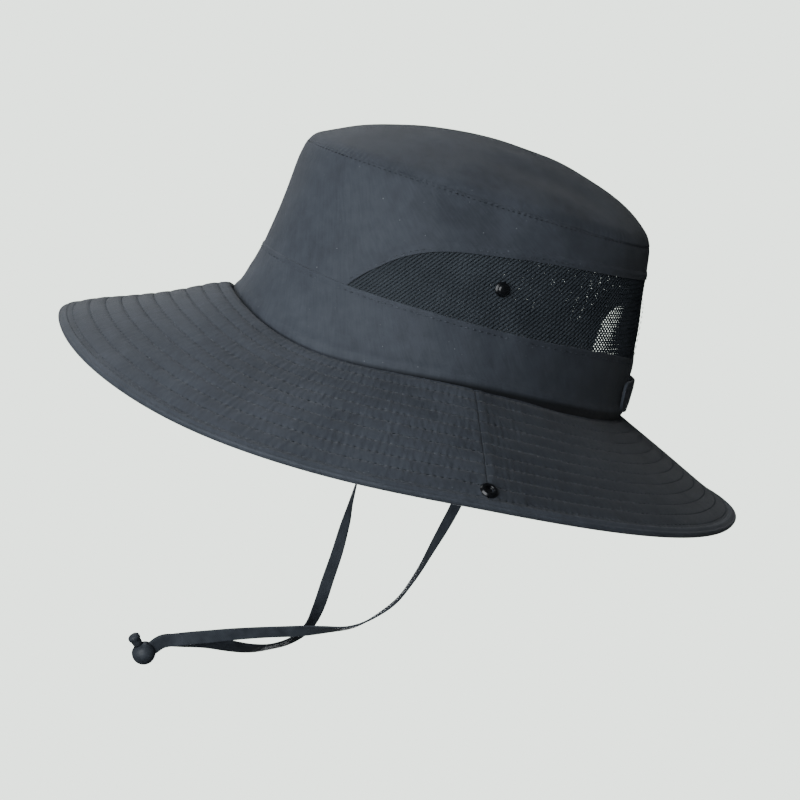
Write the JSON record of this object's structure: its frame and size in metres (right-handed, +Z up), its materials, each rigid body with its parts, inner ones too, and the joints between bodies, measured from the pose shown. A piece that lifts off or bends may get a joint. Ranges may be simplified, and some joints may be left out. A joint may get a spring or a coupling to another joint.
{
  "type": "wide brim sun hat",
  "caption": "Soft sun hat with a quilted wide brim, domed crown, open mesh sides, arched back opening with a tab, press studs and a flat chin strap with a round cord lock.",
  "frame": {"origin": "centre of the head opening, level with the seam between brim and band", "axes": "+Z up through the crown, front of the hat toward -Y, wearer's left side toward +X"},
  "size_m": [0.3112, 0.3479, 0.2996],
  "materials": {
    "nylon_cloth": "woven, matt, slate blue-grey",
    "open_mesh": "open knitted mesh, matt, dark grey",
    "binding_tape": "woven tape, matt, slate blue-grey",
    "strap_webbing": "flat woven webbing, matt, dark grey",
    "press_stud_metal": "dark gunmetal, semi-gloss",
    "cord_lock_plastic": "moulded, satin, dark grey"
  },
  "bodies": {
    "root": {"crown_top": "nylon_cloth", "crown_wall": "nylon_cloth", "mesh_panel": "open_mesh", "hat_band": "nylon_cloth", "opening_binding": "binding_tape", "back_tab": "nylon_cloth", "brim_front": "nylon_cloth", "brim_rear": "nylon_cloth", "brim_binding": "binding_tape", "brim_socket_left": "press_stud_metal", "brim_socket_right": "press_stud_metal", "crown_stud_left": "press_stud_metal", "crown_stud_right": "press_stud_metal", "chin_strap_left": "strap_webbing", "chin_strap_right": "strap_webbing", "toggle_body": "cord_lock_plastic", "toggle_button": "cord_lock_plastic"}
  },
  "joints": []
}
